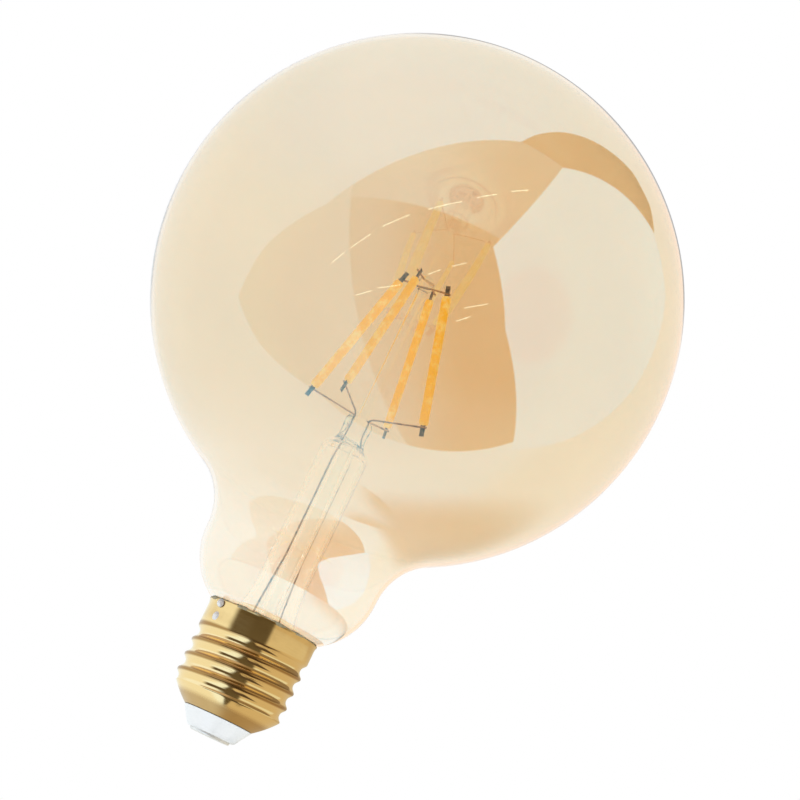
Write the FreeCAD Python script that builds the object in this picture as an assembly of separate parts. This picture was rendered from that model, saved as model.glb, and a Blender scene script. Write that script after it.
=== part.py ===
"""LED filament globe lamp with an E27 screw cap, modelled in millimetres.

+Z runs up the lamp's axis from the centre contact, at the origin, to the crown of the globe.
The lamp is sealed and has no moving pieces: glass envelope, glass stem with its wires and
filaments, screw cap, and the small driver that sits inside the cap.
"""
import FreeCAD
import Part
import math
import os

Vec = FreeCAD.Vector
UP = Vec(0, 0, 1)
ORIGIN = Vec(0, 0, 0)

# Glass envelope
GLOBE_DIAMETER = 125.0
OVERALL_LENGTH = 174.0
GLASS_WALL = 0.8
WAIST_WIDENING_PER_RISE = 0.575
WAIST_BLEND_PER_RISE = 1.054
NECK_TUBE_DIAMETER = 22.4
NECK_TUBE_BLEND_RADIUS = 2.5
SEAL_HEIGHT = 20.5
SEAL_EDGE = 1.0

# Screw shell of rolled brass
SHELL_TOP = 28.0
SHELL_FOOT = 4.6
SHELL_WALL = 0.3
SHELL_MOUTH_DIAMETER = 16.4
SHELL_CONE_ANGLE = 45.0
SHELL_CONE_BULGE = 0.35
THREAD_MAJOR_DIAMETER = 26.2
THREAD_DEPTH = 0.95
THREAD_PITCH = 25.4 / 7
GROOVE_FOOT = 7.25
GROOVE_FULLNESS = 0.15
GROOVE_FIRST_TURN = 0.1
GROOVE_LAST_TURN = 4.3
GROOVE_FADE_TURNS = 0.3
POLES_PER_PITCH = 8
POLES_PER_TURN = 36
COLLAR_HEIGHT = 4.0
RIM_LIP = 0.25
RIM_LIP_HEIGHT = 1.2
RIM_GAP = 0.25

# Base insulator and centre contact
INSULATOR_FOOT = 0.6
INSULATOR_FOOT_DIAMETER = 12.6
INSULATOR_EDGE_RADIUS = 1.0
INSULATOR_FLOOR = 3.6
INSULATOR_POCKET_DIAMETER = 12.0
INSULATOR_CUP_DIAMETER = 19.2
INSULATOR_FLANGE_DIAMETER = 22.6
INSULATOR_GAP = 0.1
CONTACT_HEAD_DIAMETER = 9.6
CONTACT_EDGE_RADIUS = 0.35
CONTACT_SHANK_DIAMETER = 3.0
CONTACT_SHANK_TOP = 6.2
CONTACT_WIRE_DEPTH = 2.0

# Capping cement and the solder spots on the collar
CEMENT_FOOT = 22.0
CEMENT_CROWN = 0.2
SOLDER_ANGLE = 219.0
SOLDER_HEIGHT = 24.2
SOLDER_RADIUS = 1.5
SOLDER_PROUD = 0.4
RIM_SOLDER_RADIUS = 1.0
RIM_SOLDER_DROP = 0.8

# Glass stem: flare, tube, press, exhaust tube and post are fused glass
STEM_LENGTH = 59.6
STEM_TUBE_DIAMETER = 11.4
STEM_WALL = 1.0
FLARE_HEIGHT = 17.5
PRESS_HEIGHT = 9.3
PRESS_WIDTH = 6.8
PRESS_THICKNESS = 4.4
PRESS_ROUND = 0.8
CAVITY_DOME = 2.2
EXHAUST_DIAMETER = 4.4
EXHAUST_BORE = 2.6
EXHAUST_TAIL = 5.0
EXHAUST_PORT_DIAMETER = 1.8
EXHAUST_PORT_ANGLE = 165.0
POST_DIAMETER = 2.6
BEAD_DIAMETER = 4.2

# Wires of the stem
LEAD_DIAMETER = 0.45
LEAD_ANGLE = 19.0
LEAD_POST_GAP = 0.15
LEAD_BEND_RADIUS = 2.0
LEAD_RISE = 1.0
LEAD_TUBE_RADIUS = 3.55
LEAD_TUBE_ANGLES = (236.0, 52.0)
LEAD_FOOT_RADIUS = 4.3
LEAD_FOOT_ANGLES = (222.0, 36.0)
LEAD_ARMS = ((3, 2), (0, 1))
TOP_WIRE_STEP = 1.2
WIRE_OVERHANG = 1.0
WELD_BITE = 0.06

# LED filaments, standing on a cone about the axis
FILAMENT_COUNT = 4
FILAMENT_PHASE = -26.0
FILAMENT_BODY_LENGTH = 32.6
FILAMENT_WIDTH = 2.0
FILAMENT_THICKNESS = 1.6
FILAMENT_EDGE_RADIUS = 0.7
FILAMENT_END_RADIUS = 0.35
FILAMENT_FOOT_RADIUS = 15.1
FILAMENT_HEAD_RADIUS = 6.1
FILAMENT_FOOT_RISE = 3.2
WELD_CLEARANCE = 0.3
TAB_FREE_LENGTH = 2.6
TAB_WIDTH = 1.1
TAB_THICKNESS = 0.2
TAB_BURIED = 1.5

# Driver inside the cap
BOARD_DIAMETER = 21.0
BOARD_THICKNESS = 1.0
BOARD_HEIGHT = 11.5
RECTIFIER_SIZE = (4.7, 3.9, 2.3)
RECTIFIER_PLACE = (-4.6, 3.6)
CHIP_SIZE = (4.9, 3.9, 1.5)
CHIP_PLACE = (4.8, -3.2)
CHIP_LEG_LENGTH = 0.9
CHIP_LEG_WIDTH = 0.45
CHIP_LEG_THICKNESS = 0.25
CHIP_STAND_OFF = 0.1
CHIP_EDGE = 0.3
CAPACITOR_DIAMETER = 5.0
CAPACITOR_HEIGHT = 4.5
CAPACITOR_EDGE = 0.5
CAPACITOR_BEAD = 0.25
CAPACITOR_PLACE = (3.3, -0.6)
FUSE_DIAMETER = 2.3
FUSE_WAIST_DIAMETER = 1.9
FUSE_LENGTH = 6.4
FUSE_CAP_LENGTH = 1.5
FUSE_EDGE = 0.3
FUSE_PITCH = 9.0
FUSE_PLACE = (0.0, -7.6)
DRIVER_WIRE_DIAMETER = 0.5
DRIVER_WIRE_TAIL = 0.6
DRIVER_WIRE_BEND = 1.2
LIVE_WIRE_PLACE = (-2.4, 0.0)
NEUTRAL_WIRE_INSET = 0.4
NEUTRAL_WIRE_SEAT = 0.05

# Worked out from the sizes above
GLOBE_RADIUS = GLOBE_DIAMETER / 2
GLOBE_CENTRE = OVERALL_LENGTH - GLOBE_RADIUS
NECK_RADIUS = NECK_TUBE_DIAMETER / 2
NECK_BORE = NECK_RADIUS - GLASS_WALL
MAJOR_RADIUS = THREAD_MAJOR_DIAMETER / 2
MINOR_RADIUS = MAJOR_RADIUS - THREAD_DEPTH
THREAD_BORE = MINOR_RADIUS - SHELL_WALL
COLLAR_BORE = MAJOR_RADIUS - SHELL_WALL
COLLAR_FOOT = SHELL_TOP - COLLAR_HEIGHT
SHELL_MOUTH_RADIUS = SHELL_MOUTH_DIAMETER / 2
STEM_RADIUS = STEM_TUBE_DIAMETER / 2
STEM_BORE = STEM_RADIUS - STEM_WALL
FLARE_TOP = SEAL_HEIGHT + FLARE_HEIGHT
PRESS_TOP = SEAL_HEIGHT + STEM_LENGTH
PRESS_FOOT = PRESS_TOP - PRESS_HEIGHT
POST_RADIUS = POST_DIAMETER / 2
LEAD_RADIUS = LEAD_DIAMETER / 2
LEAD_OFFSET = POST_RADIUS + LEAD_RADIUS + LEAD_POST_GAP
LEAD_ANGLES = (LEAD_ANGLE + 180, LEAD_ANGLE)
FILAMENT_LENGTH = FILAMENT_BODY_LENGTH + 2 * TAB_FREE_LENGTH
WELD_INSET = TAB_FREE_LENGTH - WELD_CLEARANCE - LEAD_RADIUS
WELD_SPAN = FILAMENT_LENGTH - 2 * WELD_INSET
FILAMENT_LEAN = FILAMENT_FOOT_RADIUS - FILAMENT_HEAD_RADIUS
FILAMENT_FOOT = PRESS_TOP + FILAMENT_FOOT_RISE
FILAMENT_HEAD = FILAMENT_FOOT + math.sqrt(WELD_SPAN ** 2 - FILAMENT_LEAN ** 2)
BOARD_TOP = BOARD_HEIGHT + BOARD_THICKNESS
DRIVER_WIRE_RADIUS = DRIVER_WIRE_DIAMETER / 2


def polar(radius, angle, height):
    """A point at a distance and an angle in degrees about the lamp's axis."""
    turn = math.radians(angle)
    return Vec(radius * math.cos(turn), radius * math.sin(turn), height)


def on_circle(centre, radius, angle):
    """A point of a circle in the (radius, height) plane, at an angle in radians."""
    return (centre[0] + radius * math.cos(angle), centre[1] + radius * math.sin(angle))


def arc_step(centre, radius, start, end):
    """An outline step along a circle: the point half way and the last point."""
    return (on_circle(centre, radius, (start + end) / 2), on_circle(centre, radius, end))


def heading(start, end):
    """The angle in radians from one (radius, height) point to another."""
    return math.atan2(end[1] - start[1], end[0] - start[0])


def arc_through(start, end, bulge):
    """An outline step that bows out of the straight line by a height, to the left if positive."""
    run = (end[0] - start[0], end[1] - start[1])
    length = math.hypot(run[0], run[1])
    across = (-run[1] / length * bulge, run[0] / length * bulge)
    middle = ((start[0] + end[0]) / 2 + across[0], (start[1] + end[1]) / 2 + across[1])
    return (middle, end)


def turned(start, *steps):
    """A solid turned about the lamp's axis from an outline that closes on its start.

    A step is a point for a line, or a middle and an end point for an arc.
    """
    edges = []
    here = Vec(start[0], 0, start[1])
    for step in steps + (start,):
        if isinstance(step[0], tuple):
            middle, there = (Vec(point[0], 0, point[1]) for point in step)
            edges.append(Part.Arc(here, middle, there).toShape())
        else:
            there = Vec(step[0], 0, step[1])
            if there.isEqual(here, 1e-9):
                continue
            edges.append(Part.makeLine(here, there))
        here = there
    return Part.Face(Part.Wire(edges)).revolve(ORIGIN, UP, 360)


def wire_along(points, radius, bend):
    """A round wire through the points, with straight runs joined by tangent arcs."""
    edges = []
    here = points[0]
    for before, corner, after in zip(points, points[1:], points[2:]):
        back = (before - corner).normalize()
        ahead = (after - corner).normalize()
        half_turn = (math.pi - back.getAngle(ahead)) / 2
        room = 0.45 * min(before.distanceToPoint(corner), after.distanceToPoint(corner))
        cut = min(bend * math.tan(half_turn), room)
        arc_radius = cut / math.tan(half_turn)
        first = corner + back * cut
        last = corner + ahead * cut
        middle = corner + (back + ahead).normalize() * (math.hypot(arc_radius, cut) - arc_radius)
        edges.append(Part.makeLine(here, first))
        edges.append(Part.Arc(first, middle, last).toShape())
        here = last
    edges.append(Part.makeLine(here, points[-1]))
    section = Part.Wire(Part.makeCircle(radius, points[0], points[1] - points[0]))
    return Part.Wire(edges).makePipeShell([section], True, True)


def straight_wire(start, end, radius):
    """A straight round wire from one point to another."""
    return Part.makeCylinder(radius, start.distanceToPoint(end), start, end - start)


# Glass envelope

def waist_rise(rim_radius):
    """The height of the waist above the rim at which its blend runs on into the globe.

    The waist's radius and its blend both grow with this height, so it is the lower root of a
    square equation in the globe's radius and the globe's height above the rim.
    """
    globe_rise = GLOBE_CENTRE - SHELL_TOP
    square = 1 + WAIST_WIDENING_PER_RISE ** 2 + 2 * WAIST_WIDENING_PER_RISE * WAIST_BLEND_PER_RISE
    spread = rim_radius * (WAIST_WIDENING_PER_RISE + WAIST_BLEND_PER_RISE)
    half = globe_rise + GLOBE_RADIUS * WAIST_BLEND_PER_RISE - spread
    constant = rim_radius ** 2 + globe_rise ** 2 - GLOBE_RADIUS ** 2
    return (half - math.sqrt(half ** 2 - square * constant)) / square


def envelope_steps(inset):
    """The envelope's outline from its crown to its seal, set in from the outer face.

    Globe, waist, neck and neck tube are arcs and a line that run on into each other. The neck's
    radius is the one that brings the glass inside the shell's rim with the rim gap.
    """
    rim_radius = COLLAR_BORE + RIM_LIP - RIM_GAP
    rise = waist_rise(rim_radius)
    narrowing = WAIST_WIDENING_PER_RISE * rise
    blend = WAIST_BLEND_PER_RISE * rise
    waist_radius = rim_radius + narrowing
    waist_height = SHELL_TOP + rise
    neck_radius = (rise ** 2 + narrowing ** 2) / (2 * narrowing)
    globe = (0, GLOBE_CENTRE)
    hollow = (waist_radius + blend, waist_height)
    neck = (waist_radius - neck_radius, waist_height)
    foot_radius = NECK_RADIUS + NECK_TUBE_BLEND_RADIUS
    reach = neck_radius + NECK_TUBE_BLEND_RADIUS
    foot = (foot_radius, waist_height - math.sqrt(reach ** 2 - (foot_radius - neck[0]) ** 2))
    to_hollow = heading(globe, hollow)
    to_foot = heading(neck, foot)
    start = (0, GLOBE_CENTRE + GLOBE_RADIUS - inset)
    steps = (
        arc_step(globe, GLOBE_RADIUS - inset, math.pi / 2, to_hollow),
        arc_step(hollow, blend + inset, to_hollow + math.pi, math.pi),
        arc_step(neck, neck_radius - inset, 0, to_foot),
        arc_step(foot, NECK_TUBE_BLEND_RADIUS + inset, to_foot + math.pi, math.pi),
        (NECK_RADIUS - inset, SEAL_HEIGHT),
    )
    return start, steps


def envelope_solid(inset):
    """The envelope filled to its axis, set in from the outer face."""
    start, steps = envelope_steps(inset)
    return turned(start, *steps, (0, SEAL_HEIGHT))


def make_glass_globe():
    """The blown envelope, open at the seal."""
    return envelope_solid(0).cut(envelope_solid(GLASS_WALL))


# Screw cap

def cone_radius(height, gap):
    """The radius of the shell's lower cone, moved inwards by a gap square to its face."""
    slope = math.radians(SHELL_CONE_ANGLE)
    return SHELL_MOUTH_RADIUS + (height - SHELL_FOOT) * math.tan(slope) - gap / math.cos(slope)


def cone_height(radius, gap):
    """The height at which that cone has a radius."""
    slope = math.radians(SHELL_CONE_ANGLE)
    return SHELL_FOOT + (radius - SHELL_MOUTH_RADIUS + gap / math.cos(slope)) / math.tan(slope)


def smooth_step(share):
    """A share from 0 to 1, eased at both ends."""
    share = max(0, min(1, share))
    return share * share * (3 - 2 * share)


def pole_gain(poles_per_wave):
    """How far the poles of an even cubic spline lie outside a wave that it has to follow."""
    return 3 / (2 + math.cos(2 * math.pi / poles_per_wave))


def groove_depth(turn, height):
    """Depth of the rolled groove below its crests, at an angle in radians and a height.

    The groove winds up the shell as a rounded wave, a little fuller than its crests, and fades at
    its two ends.
    """
    lap = turn / (2 * math.pi)
    winding = round((height - GROOVE_FOOT) / THREAD_PITCH - lap) + lap
    phase = 2 * math.pi * ((height - GROOVE_FOOT) / THREAD_PITCH - winding)
    entry = smooth_step((winding - GROOVE_FIRST_TURN) / GROOVE_FADE_TURNS)
    leave = smooth_step((GROOVE_LAST_TURN - winding) / GROOVE_FADE_TURNS)
    wave = pole_gain(POLES_PER_PITCH) * math.cos(phase)
    filling = GROOVE_FULLNESS * (1 - pole_gain(POLES_PER_PITCH / 2) * math.cos(2 * phase))
    return THREAD_DEPTH * entry * leave * (1 + wave + filling) / 2


def shoulder_radius(height):
    """Outer radius of the shell's lower cone, which bulges a little between its two ends."""
    share = (height - SHELL_FOOT) / (cone_height(MAJOR_RADIUS, 0) - SHELL_FOOT)
    return cone_radius(height, 0) + SHELL_CONE_BULGE * 4 * share * max(0, 1 - share)


def shell_radius(turn, height):
    """Outer radius of the shell: the lower cone, the thread, and the collar with its lip."""
    lip = max(0, 1 - (SHELL_TOP - height) / RIM_LIP_HEIGHT)
    return min(shoulder_radius(height), MAJOR_RADIUS + RIM_LIP * lip ** 2 - groove_depth(turn, height))


def shell_outside():
    """The shell filled to its axis: one closed spline skin with the thread in it, and two flat ends."""
    rows = math.ceil((SHELL_TOP - SHELL_FOOT) / THREAD_PITCH * POLES_PER_PITCH)
    heights = [SHELL_FOOT + (SHELL_TOP - SHELL_FOOT) * row / rows for row in range(rows + 1)]
    gain = pole_gain(POLES_PER_TURN)
    poles = []
    for column in range(POLES_PER_TURN):
        turn = 2 * math.pi * column / POLES_PER_TURN
        ring = [polar(gain * shell_radius(turn, height), math.degrees(turn), height) for height in heights]
        poles.append(ring)
    turn_knots = list(range(POLES_PER_TURN + 1))
    row_knots = list(range(rows - 1))
    row_counts = [4] + [1] * (rows - 3) + [4]
    skin = Part.BSplineSurface()
    skin.buildFromPolesMultsKnots(
        poles, [1] * len(turn_knots), row_counts, turn_knots, row_knots, True, False, 3, 3)
    ends = [Part.Face(Part.Wire(skin.vIso(knot).toShape())) for knot in (row_knots[0], row_knots[-1])]
    closed = Part.makeShell([skin.toShape()] + ends)
    closed.sewShape()
    return Part.makeSolid(closed)


def make_screw_shell():
    """The rolled brass shell: cone, thread, collar and a rim with a small lip, hollow throughout."""
    lip_foot = SHELL_TOP - RIM_LIP_HEIGHT
    bore_step = COLLAR_FOOT + SHELL_WALL
    rim_bore = COLLAR_BORE + RIM_LIP
    mouth = cone_radius(SHELL_FOOT, SHELL_WALL)
    bore = turned(
        (0, 0),
        (mouth, 0),
        (mouth, SHELL_FOOT),
        (THREAD_BORE, cone_height(THREAD_BORE, SHELL_WALL)),
        (THREAD_BORE, bore_step),
        (COLLAR_BORE, bore_step),
        (COLLAR_BORE, lip_foot),
        arc_through((COLLAR_BORE, lip_foot), (rim_bore, SHELL_TOP), -RIM_LIP / 4),
        (rim_bore, SHELL_TOP + RIM_LIP_HEIGHT),
        (0, SHELL_TOP + RIM_LIP_HEIGHT),
    )
    return shell_outside().cut(bore)


def make_base_insulator():
    """The moulded insulator: a cone below the shell, and a cup inside it that carries the board."""
    foot_radius = INSULATOR_FOOT_DIAMETER / 2
    flange = INSULATOR_FLANGE_DIAMETER / 2
    cup = INSULATOR_CUP_DIAMETER / 2
    pocket = INSULATOR_POCKET_DIAMETER / 2
    neck = cone_radius(SHELL_FOOT, SHELL_WALL) - INSULATOR_GAP
    seat = SHELL_WALL + INSULATOR_GAP
    brim = SHELL_FOOT - INSULATOR_GAP
    brim_radius = SHELL_MOUTH_RADIUS
    edge = (foot_radius - INSULATOR_EDGE_RADIUS, INSULATOR_FOOT)
    edge_end = (foot_radius, INSULATOR_FOOT + INSULATOR_EDGE_RADIUS)
    solid = turned(
        (0, INSULATOR_FOOT),
        edge,
        arc_through(edge, edge_end, -INSULATOR_EDGE_RADIUS * (math.sqrt(0.5) - 0.5)),
        (brim_radius, brim),
        (neck, brim),
        (neck, cone_height(neck, seat)),
        (flange, cone_height(flange, seat)),
        (flange, BOARD_HEIGHT),
        (cup, BOARD_HEIGHT),
        (cup, cone_height(flange, seat)),
        (pocket, cone_height(pocket + flange - cup, seat)),
        (pocket, INSULATOR_FLOOR),
        (0, INSULATOR_FLOOR),
    )
    return solid.cut(Part.makeCylinder(CONTACT_SHANK_DIAMETER / 2, INSULATOR_FLOOR))


def make_centre_contact():
    """A pressed stud: a flat head under the insulator and a shank through it."""
    head = CONTACT_HEAD_DIAMETER / 2
    shank = CONTACT_SHANK_DIAMETER / 2
    edge = (head - CONTACT_EDGE_RADIUS, CONTACT_EDGE_RADIUS)
    stud = turned(
        (0, 0),
        (edge[0], 0),
        arc_step(edge, CONTACT_EDGE_RADIUS, -math.pi / 2, 0),
        (head, INSULATOR_FOOT),
        (shank, INSULATOR_FOOT),
        (shank, CONTACT_SHANK_TOP),
        (0, CONTACT_SHANK_TOP),
    )
    hole_foot = Vec(0, 0, CONTACT_SHANK_TOP - CONTACT_WIRE_DEPTH)
    return stud.cut(Part.makeCylinder(DRIVER_WIRE_RADIUS, CONTACT_WIRE_DEPTH, hole_foot))


def make_capping_cement(neutral_wire):
    """The ring of cement between the neck of glass and the shell, with a thin fillet over the rim."""
    bore_step = COLLAR_FOOT + SHELL_WALL
    lip_foot = SHELL_TOP - RIM_LIP_HEIGHT
    rim_bore = COLLAR_BORE + RIM_LIP
    ring = turned(
        (0, CEMENT_FOOT),
        (THREAD_BORE, CEMENT_FOOT),
        (THREAD_BORE, bore_step),
        (COLLAR_BORE, bore_step),
        (COLLAR_BORE, lip_foot),
        arc_through((COLLAR_BORE, lip_foot), (rim_bore, SHELL_TOP), -RIM_LIP / 4),
        (rim_bore, SHELL_TOP + CEMENT_CROWN),
        (0, SHELL_TOP + CEMENT_CROWN),
    )
    return ring.cut(envelope_solid(0)).cut(neutral_wire)


def make_side_solder():
    """Two spots of solder that join the neutral wire to the collar, the upper one on the rim's lip."""
    sunk = MAJOR_RADIUS + SOLDER_PROUD - SOLDER_RADIUS
    lip_radius = MAJOR_RADIUS + RIM_LIP
    seat = turned(
        (0, COLLAR_FOOT - SOLDER_RADIUS),
        (MAJOR_RADIUS, COLLAR_FOOT - SOLDER_RADIUS),
        (MAJOR_RADIUS, SHELL_TOP - 2 * RIM_LIP_HEIGHT),
        (lip_radius, SHELL_TOP),
        (lip_radius, SHELL_TOP + RIM_SOLDER_RADIUS),
        (0, SHELL_TOP + RIM_SOLDER_RADIUS),
    )
    lower = Part.makeSphere(SOLDER_RADIUS, polar(sunk, SOLDER_ANGLE, SOLDER_HEIGHT))
    upper = Part.makeSphere(RIM_SOLDER_RADIUS, polar(MAJOR_RADIUS, SOLDER_ANGLE, SHELL_TOP - RIM_SOLDER_DROP))
    return Part.makeCompound([lower.cut(seat), upper.cut(seat)])


# Glass stem and its wires

def flare_tube():
    """The flare and tube of the stem, open at its foot."""
    widening = NECK_BORE - STEM_RADIUS
    fall = FLARE_HEIGHT - SEAL_EDGE
    flare_radius = (fall ** 2 + widening ** 2) / (2 * widening)
    centre = (STEM_RADIUS + flare_radius, FLARE_TOP)
    outer_turn = math.asin(fall / flare_radius)
    inner_turn = math.asin(FLARE_HEIGHT / (flare_radius + STEM_WALL))
    inner_foot = on_circle(centre, flare_radius + STEM_WALL, math.pi + inner_turn)
    return turned(
        (STEM_RADIUS, PRESS_FOOT),
        (STEM_RADIUS, FLARE_TOP),
        arc_step(centre, flare_radius, math.pi, math.pi + outer_turn),
        (NECK_BORE, SEAL_HEIGHT),
        inner_foot,
        arc_step(centre, flare_radius + STEM_WALL, math.pi + inner_turn, math.pi),
        (STEM_BORE, PRESS_FOOT),
    )


def press_section(share):
    """The press's outline at a share of its height, from the round tube to the pinched top."""
    ease = min(share / 0.45, 1)
    ease = ease * ease * (3 - 2 * ease)
    shrink = PRESS_ROUND if share == 1 else 0
    width = STEM_RADIUS + (PRESS_WIDTH / 2 - STEM_RADIUS) * ease - shrink
    thickness = STEM_RADIUS + (PRESS_THICKNESS / 2 - STEM_RADIUS) * ease - shrink
    centre = Vec(0, 0, PRESS_FOOT + PRESS_HEIGHT * share)
    if share == 0:
        return Part.Wire(Part.makeCircle(STEM_RADIUS, centre))
    return Part.Wire(Part.Ellipse(centre, width, thickness).toShape())


def press_solid():
    """The pinched glass that seals the leads, lofted from round to flat."""
    press = Part.makeLoft([press_section(share) for share in (0, 0.1, 0.2, 0.32, 0.45, 0.7, 0.92, 1)], True)
    press.rotate(ORIGIN, UP, LEAD_ANGLE)
    start = (STEM_BORE, PRESS_FOOT)
    end = (0, PRESS_FOOT + CAVITY_DOME)
    cavity = turned((0, PRESS_FOOT), start, arc_through(start, end, -STEM_BORE / 5))
    return press.cut(cavity)


def exhaust_tube():
    """The exhaust tube: its head is fused to the press and its tail is melted shut below the seal."""
    radius = EXHAUST_DIAMETER / 2
    bore = EXHAUST_BORE / 2
    wall = radius - bore
    tip = SEAL_HEIGHT - EXHAUST_TAIL
    head = PRESS_FOOT + CAVITY_DOME + wall
    tube = turned(
        (0, tip),
        arc_step((0, tip + radius), radius, -math.pi / 2, 0),
        (radius, head),
        (0, head),
    )
    hollow = turned(
        (0, tip + wall),
        arc_step((0, tip + wall + bore), bore, -math.pi / 2, 0),
        (bore, head),
        (0, head),
    )
    return tube, hollow


def make_glass_stem(wires):
    """Flare, press, exhaust tube, post and bead, fused into one piece round the wires."""
    tube, hollow = exhaust_tube()
    bead_centre = Vec(0, 0, FILAMENT_HEAD + TOP_WIRE_STEP / 2)
    post_foot = Vec(0, 0, PRESS_TOP - PRESS_ROUND)
    post = Part.makeCylinder(POST_RADIUS, bead_centre.z - post_foot.z, post_foot)
    bead = Part.makeSphere(BEAD_DIAMETER / 2, bead_centre)
    port_foot = Vec(0, 0, PRESS_FOOT + CAVITY_DOME - EXHAUST_BORE / 2)
    port_aim = polar(1, EXHAUST_PORT_ANGLE, 1)
    port = Part.makeCylinder(EXHAUST_PORT_DIAMETER / 2, STEM_TUBE_DIAMETER, port_foot, port_aim)
    glass = flare_tube()
    for piece in (press_solid(), tube, post, bead):
        glass = glass.fuse(piece)
    for hole in [hollow, port] + wires:
        glass = glass.cut(hole)
    return glass.removeSplitter()


def filament_angle(index):
    """The angle of a filament about the axis."""
    return FILAMENT_PHASE + index * 360 / FILAMENT_COUNT


def foot_weld(index):
    """Where an arm crosses the lower tab of a filament."""
    return polar(FILAMENT_FOOT_RADIUS, filament_angle(index), FILAMENT_FOOT)


def lead_point(side, height):
    """A point of a lead's straight stretch through the press."""
    return polar(LEAD_OFFSET, LEAD_ANGLES[side], height)


def arm_end(start, index):
    """The end of an arm, a little past the tab it is welded to."""
    weld = foot_weld(index)
    return weld + (weld - start).normalize() * WIRE_OVERHANG


def make_lead_wire(side):
    """A lead from the board, up the stem, through the press and out to its first filament."""
    foot = (LEAD_FOOT_RADIUS, LEAD_FOOT_ANGLES[side])
    tube = (LEAD_TUBE_RADIUS, LEAD_TUBE_ANGLES[side])
    knee = lead_point(side, PRESS_TOP + LEAD_RISE)
    points = [
        polar(*foot, BOARD_HEIGHT - DRIVER_WIRE_TAIL),
        polar(*foot, SEAL_HEIGHT + FLARE_HEIGHT / 3),
        polar(*tube, FLARE_TOP + FLARE_HEIGHT / 3),
        polar(*tube, PRESS_FOOT - LEAD_BEND_RADIUS),
        lead_point(side, PRESS_FOOT + PRESS_HEIGHT * 2 / 3),
        knee,
        arm_end(knee, LEAD_ARMS[side][0]),
    ]
    return wire_along(points, LEAD_RADIUS, LEAD_BEND_RADIUS)


def make_branch_wire(side, lead):
    """The second arm of a lead, welded to it just above the press."""
    start = lead_point(side, PRESS_TOP + LEAD_RADIUS + LEAD_POST_GAP)
    return straight_wire(start, arm_end(start, LEAD_ARMS[side][1]), LEAD_RADIUS).cut(lead)


def make_top_wire(index):
    """A wire through the bead, from one filament to the one across from it."""
    height = FILAMENT_HEAD + TOP_WIRE_STEP * index
    reach = FILAMENT_HEAD_RADIUS + WIRE_OVERHANG
    angle = filament_angle(index)
    return straight_wire(polar(reach, angle, height), polar(reach, angle + 180, height), LEAD_RADIUS)


# Filaments

def filament_frame(index):
    """Placement of a filament: width along X, thickness along Y, and its length up Z from its foot."""
    turn = math.radians(filament_angle(index))
    across = Vec(-math.sin(turn), math.cos(turn), 0)
    foot = foot_weld(index)
    head = polar(FILAMENT_HEAD_RADIUS, filament_angle(index), FILAMENT_HEAD)
    along = (head - foot).normalize()
    beside_wire = LEAD_RADIUS - WELD_BITE + TAB_THICKNESS / 2
    base = foot + across * beside_wire - along * WELD_INSET
    return FreeCAD.Placement(base, FreeCAD.Rotation(across.cross(along), across, along, "ZYX"))


def filament_tabs(index):
    """The two flat metal tabs at the ends of a filament."""
    length = TAB_FREE_LENGTH + TAB_BURIED
    tabs = []
    for foot in (0, FILAMENT_LENGTH - length):
        tab = Part.makeBox(TAB_WIDTH, TAB_THICKNESS, length, Vec(-TAB_WIDTH / 2, -TAB_THICKNESS / 2, foot))
        tab.Placement = filament_frame(index)
        tabs.append(tab)
    return tabs


def make_led_filament(index):
    """A coated strip with rounded edges, moulded round the ends of its tabs."""
    corner = Vec(-FILAMENT_WIDTH / 2, -FILAMENT_THICKNESS / 2, TAB_FREE_LENGTH)
    strip = Part.makeBox(FILAMENT_WIDTH, FILAMENT_THICKNESS, FILAMENT_BODY_LENGTH, corner)
    long_edges = [edge for edge in strip.Edges if abs(edge.Length - FILAMENT_BODY_LENGTH) < 1e-6]
    strip = strip.makeFillet(FILAMENT_EDGE_RADIUS, long_edges)
    flat = [face for face in strip.Faces if face.BoundBox.ZLength < 1e-4]
    strip = strip.makeFillet(FILAMENT_END_RADIUS, [edge for face in flat for edge in face.Edges])
    strip.Placement = filament_frame(index)
    return strip.cut(filament_tabs(index))


# Driver inside the cap

def packaged_chip(size, place, legs):
    """A moulded chip on the board, with a row of flat legs on two sides."""
    length, width, height = size
    foot = BOARD_TOP + CHIP_STAND_OFF
    body = Part.makeBox(length, width, height, Vec(place[0] - length / 2, place[1] - width / 2, foot))
    top_edges = [edge for edge in body.Edges if edge.BoundBox.ZMin > foot + height / 2]
    body = body.makeChamfer(CHIP_EDGE, top_edges)
    rails = []
    for leg in range(legs):
        left = place[0] + (leg + 0.5) * length / legs - length / 2 - CHIP_LEG_WIDTH / 2
        corner = Vec(left, place[1] - width / 2 - CHIP_LEG_LENGTH, BOARD_TOP)
        rails.append(Part.makeBox(CHIP_LEG_WIDTH, width + 2 * CHIP_LEG_LENGTH, CHIP_LEG_THICKNESS, corner))
    return body.fuse(rails).removeSplitter()


def make_smoothing_capacitor():
    """A small can under the board, with rounded ends and a rolled bead."""
    radius = CAPACITOR_DIAMETER / 2
    foot = BOARD_HEIGHT - CAPACITOR_HEIGHT
    neck = BOARD_HEIGHT - 2 * CAPACITOR_EDGE
    bead_foot = (radius, neck - CAPACITOR_EDGE)
    bead_head = (radius, neck)
    can = turned(
        (0, foot),
        (radius - CAPACITOR_EDGE, foot),
        arc_step((radius - CAPACITOR_EDGE, foot + CAPACITOR_EDGE), CAPACITOR_EDGE, -math.pi / 2, 0),
        bead_foot,
        arc_through(bead_foot, bead_head, CAPACITOR_BEAD),
        (radius, BOARD_HEIGHT - CAPACITOR_EDGE),
        (radius - CAPACITOR_EDGE, BOARD_HEIGHT),
        (0, BOARD_HEIGHT),
    )
    can.translate(Vec(CAPACITOR_PLACE[0], CAPACITOR_PLACE[1], 0))
    return can


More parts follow.
